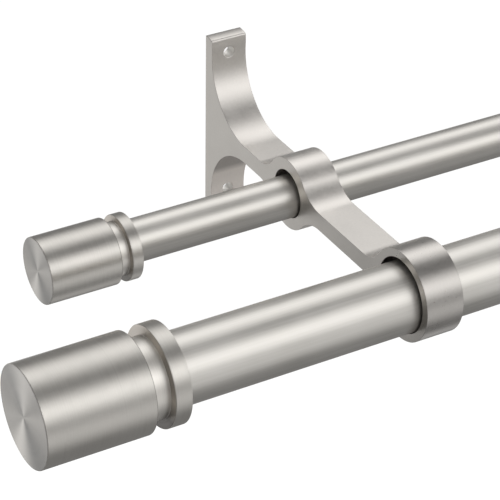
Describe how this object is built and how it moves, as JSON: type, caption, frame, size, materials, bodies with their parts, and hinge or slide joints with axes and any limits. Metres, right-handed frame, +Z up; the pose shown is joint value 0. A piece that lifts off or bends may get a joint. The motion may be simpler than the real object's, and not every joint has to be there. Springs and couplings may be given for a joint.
{
  "type": "double curtain pole",
  "caption": "Curtain pole with a thick front tube and a thin back tube, plain cylindrical finials, and cast wall brackets with a ring for each tube.",
  "frame": {"origin": "centre of the four wall screw holes, on the wall's face and level with the centres of the brackets' rings", "axes": "+X along the poles to the right as seen from the room, +Y into the wall, +Z up"},
  "size_m": [1.256, 0.1552, 0.0732],
  "materials": {
    "pole_metal": "satin nickel plate",
    "bracket_metal": "satin nickel plate on a casting",
    "finial_metal": "turned, satin nickel",
    "screw_steel": "bright steel"
  },
  "bodies": {
    "root": {"front_pole": "pole_metal", "back_pole": "pole_metal", "bracket_left": "bracket_metal", "front_finial_left": "finial_metal", "front_finial_left_grub": "screw_steel", "front_ring_grub_left": "screw_steel", "back_finial_left": "finial_metal", "back_finial_left_grub": "screw_steel", "back_ring_grub_left": "screw_steel", "bracket_right": "bracket_metal", "front_finial_right": "finial_metal", "front_finial_right_grub": "screw_steel", "front_ring_grub_right": "screw_steel", "back_finial_right": "finial_metal", "back_finial_right_grub": "screw_steel", "back_ring_grub_right": "screw_steel"}
  },
  "joints": []
}
